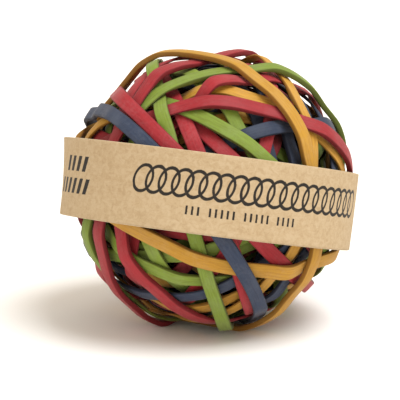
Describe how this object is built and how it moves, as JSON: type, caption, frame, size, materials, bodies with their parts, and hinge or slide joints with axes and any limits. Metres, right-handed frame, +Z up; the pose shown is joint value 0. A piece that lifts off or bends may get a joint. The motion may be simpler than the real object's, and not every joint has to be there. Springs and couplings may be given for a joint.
{
  "type": "rubber band ball",
  "caption": "Ball wound from coloured rubber bands over a tightly wound core, held in a plain kraft paper sleeve; it rests on a small pressed flat.",
  "frame": {"origin": "on the surface the ball rests on, under the middle of its box", "axes": "+Z up as it rests, -Y towards the viewer of the sleeve's front, +X to that viewer's right"},
  "size_m": [0.0626, 0.0634, 0.0579],
  "materials": {
    "core_rubber": "matt, dull",
    "red_rubber": "matt, lightly powdered",
    "green_rubber": "matt, lightly powdered",
    "navy_rubber": "matt, lightly powdered",
    "yellow_rubber": "matt, lightly powdered",
    "kraft_paper": "matt, fibrous"
  },
  "bodies": {
    "root": {"wound_core": "core_rubber", "red_band_01": "red_rubber", "red_band_02": "red_rubber", "red_band_03": "red_rubber", "red_band_04": "red_rubber", "red_band_05": "red_rubber", "red_band_06": "red_rubber", "red_band_07": "red_rubber", "red_band_08": "red_rubber", "red_band_09": "red_rubber", "red_band_10": "red_rubber", "red_band_11": "red_rubber", "red_band_12": "red_rubber", "red_band_13": "red_rubber", "red_band_14": "red_rubber", "red_band_15": "red_rubber", "red_band_16": "red_rubber", "red_band_17": "red_rubber", "red_band_18": "red_rubber", "red_band_19": "red_rubber", "green_band_01": "green_rubber", "green_band_02": "green_rubber", "green_band_03": "green_rubber", "green_band_04": "green_rubber", "green_band_05": "green_rubber", "green_band_06": "green_rubber", "green_band_07": "green_rubber", "green_band_08": "green_rubber", "green_band_09": "green_rubber", "green_band_10": "green_rubber", "green_band_11": "green_rubber", "green_band_12": "green_rubber", "green_band_13": "green_rubber", "green_band_14": "green_rubber", "navy_band_01": "navy_rubber", "navy_band_02": "navy_rubber", "navy_band_03": "navy_rubber", "navy_band_04": "navy_rubber", "navy_band_05": "navy_rubber", "navy_band_06": "navy_rubber", "navy_band_07": "navy_rubber", "navy_band_08": "navy_rubber", "navy_band_09": "navy_rubber", "navy_band_10": "navy_rubber", "navy_band_11": "navy_rubber", "navy_band_12": "navy_rubber", "navy_band_13": "navy_rubber", "yellow_band_01": "yellow_rubber", "yellow_band_02": "yellow_rubber", "yellow_band_03": "yellow_rubber", "yellow_band_04": "yellow_rubber", "yellow_band_05": "yellow_rubber", "yellow_band_06": "yellow_rubber", "yellow_band_07": "yellow_rubber", "yellow_band_08": "yellow_rubber", "yellow_band_09": "yellow_rubber", "paper_sleeve": "kraft_paper"}
  },
  "joints": []
}
